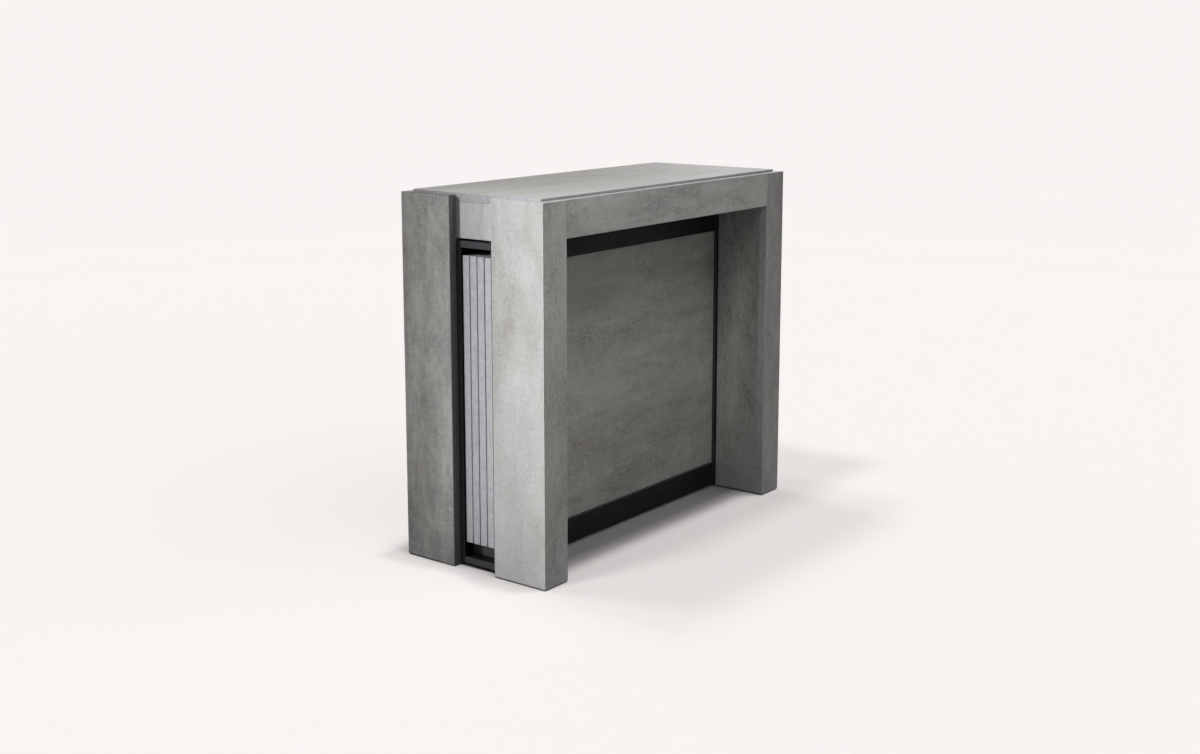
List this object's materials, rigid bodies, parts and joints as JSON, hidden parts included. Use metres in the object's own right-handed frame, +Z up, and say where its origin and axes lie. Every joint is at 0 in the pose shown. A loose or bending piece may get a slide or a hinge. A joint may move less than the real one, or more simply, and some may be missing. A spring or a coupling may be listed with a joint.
{
  "type": "extending table",
  "caption": "Extending console table: two boxed portals joined by telescopic guides, with extension leaves standing on edge in a black store between them.",
  "frame": {"origin": "on the floor, under the middle of the closed table", "axes": "+X along the table's width, to the right seen from the front; +Y from the front portal to the rear one; +Z up"},
  "size_m": [0.89, 0.376, 0.778],
  "materials": {
    "concrete_laminate": "matt concrete-look laminate on chipboard, lilac-grey edge bands",
    "black_board": "matt black laminate on chipboard",
    "guide_aluminium": "mill-finish extruded aluminium",
    "steel": "zinc-plated steel",
    "black_plastic": "matt moulded plastic",
    "beech": "plain sanded beech"
  },
  "bodies": {
    "rear_portal": {"fixed_left_rail": "guide_aluminium", "fixed_right_rail": "guide_aluminium", "guide_plates": "steel", "leaf_racks": "black_plastic", "rear_apron": "concrete_laminate", "rear_apron_pins": "steel", "rear_cleat": "beech", "rear_glides": "black_plastic", "rear_left_leg_closing_board": "concrete_laminate", "rear_left_leg_face_board": "concrete_laminate", "rear_left_leg_inner_board": "concrete_laminate", "rear_left_leg_outer_board": "concrete_laminate", "rear_right_leg_closing_board": "concrete_laminate", "rear_right_leg_face_board": "concrete_laminate", "rear_right_leg_inner_board": "concrete_laminate", "rear_right_leg_outer_board": "concrete_laminate", "store_bottom_board": "black_board", "store_end_panel": "black_board", "store_feet": "black_plastic", "store_front_bottom_rail": "black_board", "store_front_left_stile": "black_board", "store_front_panel": "concrete_laminate", "store_front_right_stile": "black_board", "store_front_top_rail": "black_board", "store_rear_wall": "black_board", "store_top_board": "black_board"},
    "front_portal": {"front_apron": "concrete_laminate", "front_cleat": "beech", "front_glides": "black_plastic", "front_left_leg_closing_board": "concrete_laminate", "front_left_leg_face_board": "concrete_laminate", "front_left_leg_inner_board": "concrete_laminate", "front_left_leg_outer_board": "concrete_laminate", "front_right_leg_closing_board": "concrete_laminate", "front_right_leg_face_board": "concrete_laminate", "front_right_leg_inner_board": "concrete_laminate", "front_right_leg_outer_board": "concrete_laminate", "last_left_rail": "guide_aluminium", "last_right_rail": "guide_aluminium", "left_side_apron": "concrete_laminate", "right_side_apron": "concrete_laminate", "slab_left_angle": "guide_aluminium", "slab_right_angle": "guide_aluminium", "top_slab": "concrete_laminate"},
    "stage_1_slider": {"guide_stage_1": "guide_aluminium"},
    "stage_2_slider": {"guide_stage_2": "guide_aluminium"},
    "stage_3_slider": {"guide_stage_3": "guide_aluminium"},
    "stage_4_slider": {"guide_stage_4": "guide_aluminium"},
    "stage_5_slider": {"guide_stage_5": "guide_aluminium"},
    "stage_6_slider": {"guide_stage_6": "guide_aluminium"},
    "stage_7_slider": {"guide_stage_7": "guide_aluminium"},
    "stage_8_slider": {"guide_stage_8": "guide_aluminium"},
    "leaf_1_board": {"leaf_1": "concrete_laminate", "leaf_1_pins": "steel"},
    "leaf_2_board": {"leaf_2": "concrete_laminate", "leaf_2_pins": "steel"},
    "leaf_3_board": {"leaf_3": "concrete_laminate", "leaf_3_pins": "steel"},
    "leaf_4_board": {"leaf_4": "concrete_laminate", "leaf_4_pins": "steel"}
  },
  "joints": [
    {"name": "extension", "type": "slide", "parent": "rear_portal", "child": "front_portal", "axis": [0, -1, 0], "range_m": [0, 2.4]},
    {"name": "stage_1_slide", "type": "slide", "parent": "rear_portal", "child": "stage_1_slider", "axis": [0, -1, 0], "range_m": [0, 0.2668]},
    {"name": "stage_2_slide", "type": "slide", "parent": "rear_portal", "child": "stage_2_slider", "axis": [0, -1, 0], "range_m": [0, 0.5334]},
    {"name": "stage_3_slide", "type": "slide", "parent": "rear_portal", "child": "stage_3_slider", "axis": [0, -1, 0], "range_m": [0, 0.8001]},
    {"name": "stage_4_slide", "type": "slide", "parent": "rear_portal", "child": "stage_4_slider", "axis": [0, -1, 0], "range_m": [0, 1.0668]},
    {"name": "stage_5_slide", "type": "slide", "parent": "rear_portal", "child": "stage_5_slider", "axis": [0, -1, 0], "range_m": [0, 1.3334]},
    {"name": "stage_6_slide", "type": "slide", "parent": "rear_portal", "child": "stage_6_slider", "axis": [0, -1, 0], "range_m": [0, 1.6001]},
    {"name": "stage_7_slide", "type": "slide", "parent": "rear_portal", "child": "stage_7_slider", "axis": [0, -1, 0], "range_m": [0, 1.8668]},
    {"name": "stage_8_slide", "type": "slide", "parent": "rear_portal", "child": "stage_8_slider", "axis": [0, -1, 0], "range_m": [0, 2.1334]},
    {"name": "leaf_1_slide", "type": "slide", "parent": "rear_portal", "child": "leaf_1_board", "axis": [-1, 0, 0], "range_m": [0, 0.89]},
    {"name": "leaf_2_slide", "type": "slide", "parent": "rear_portal", "child": "leaf_2_board", "axis": [-1, 0, 0], "range_m": [0, 0.89]},
    {"name": "leaf_3_slide", "type": "slide", "parent": "rear_portal", "child": "leaf_3_board", "axis": [-1, 0, 0], "range_m": [0, 0.89]},
    {"name": "leaf_4_slide", "type": "slide", "parent": "rear_portal", "child": "leaf_4_board", "axis": [-1, 0, 0], "range_m": [0, 0.89]}
  ],
  "couplings": [
    {"joint": "stage_1_slide", "follows": "extension", "ratio": 0.11111},
    {"joint": "stage_2_slide", "follows": "extension", "ratio": 0.22222},
    {"joint": "stage_3_slide", "follows": "extension", "ratio": 0.33333},
    {"joint": "stage_4_slide", "follows": "extension", "ratio": 0.44444},
    {"joint": "stage_5_slide", "follows": "extension", "ratio": 0.55556},
    {"joint": "stage_6_slide", "follows": "extension", "ratio": 0.66667},
    {"joint": "stage_7_slide", "follows": "extension", "ratio": 0.77778},
    {"joint": "stage_8_slide", "follows": "extension", "ratio": 0.88889}
  ]
}
